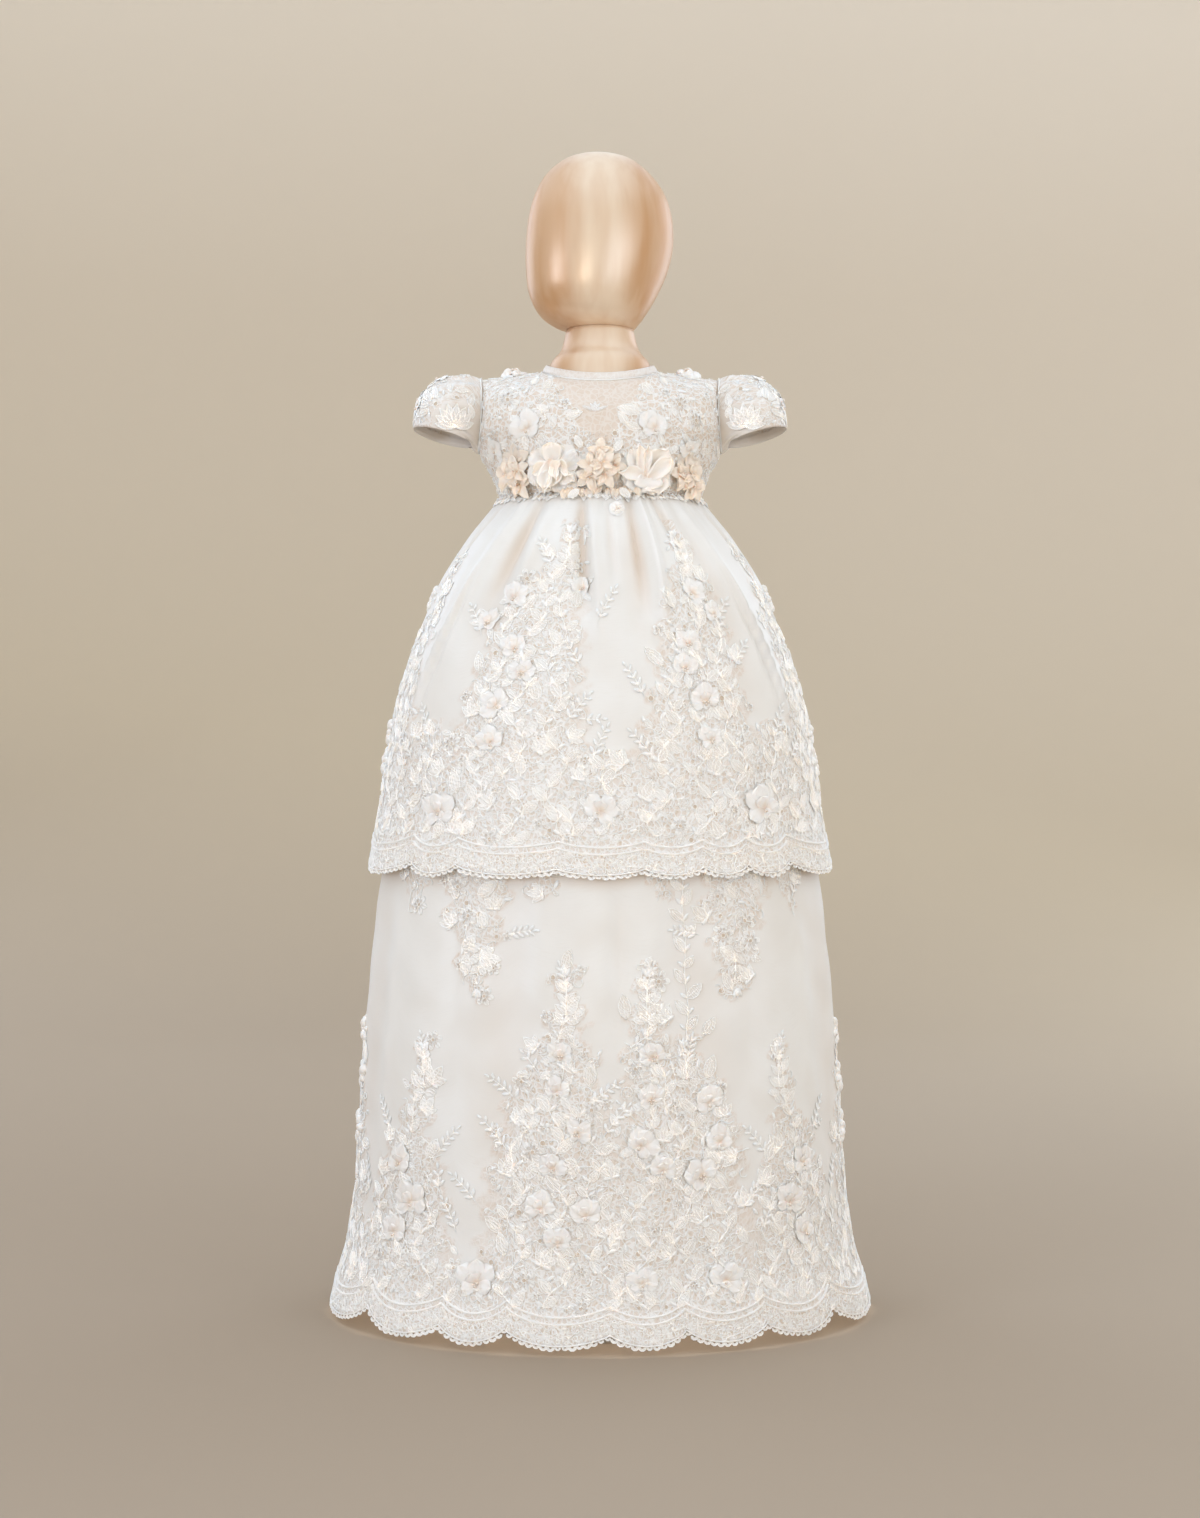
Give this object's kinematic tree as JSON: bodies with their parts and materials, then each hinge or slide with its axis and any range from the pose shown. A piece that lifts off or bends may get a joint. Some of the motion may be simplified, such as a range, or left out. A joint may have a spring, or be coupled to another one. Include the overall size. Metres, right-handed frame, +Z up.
{
  "type": "christening gown on dress form",
  "caption": "Long two-tier lace christening gown with short sleeves and satin waist flowers, worn by a limbless dress form with a smooth head on a round stand.",
  "frame": {"origin": "on the floor, at the middle of the round base", "axes": "+Z up along the pole, front of the gown towards -Y, +X to the viewer's right"},
  "size_m": [0.4582, 0.313, 0.992],
  "materials": {
    "lace_satin": "ivory satin under corded lace",
    "plain_satin": "ivory satin, soft sheen",
    "beige_petal": "matte beige petals",
    "pearl": "pearl beads",
    "gold_satin": "golden tan satin, soft sheen",
    "stand_paint": "satin paint"
  },
  "bodies": {
    "root": {"bodice_front": "lace_satin", "bodice_back_left": "lace_satin", "bodice_back_right": "lace_satin", "sleeve_left": "lace_satin", "sleeve_right": "lace_satin", "upper_skirt_front": "lace_satin", "upper_skirt_back": "lace_satin", "lower_skirt_front": "lace_satin", "lower_skirt_back": "lace_satin", "neck_band": "plain_satin", "rose_left": "plain_satin", "rose_right": "plain_satin", "cluster_centre": "beige_petal", "cluster_left": "beige_petal", "cluster_right": "beige_petal", "shoulder_flower_left": "plain_satin", "shoulder_flower_right": "plain_satin", "pearl_flower": "pearl", "back_button_1": "plain_satin", "back_button_2": "plain_satin", "back_button_3": "plain_satin", "back_button_4": "plain_satin", "form_torso": "gold_satin", "form_head": "gold_satin", "stand_pole": "stand_paint", "stand_base": "stand_paint"}
  },
  "joints": []
}
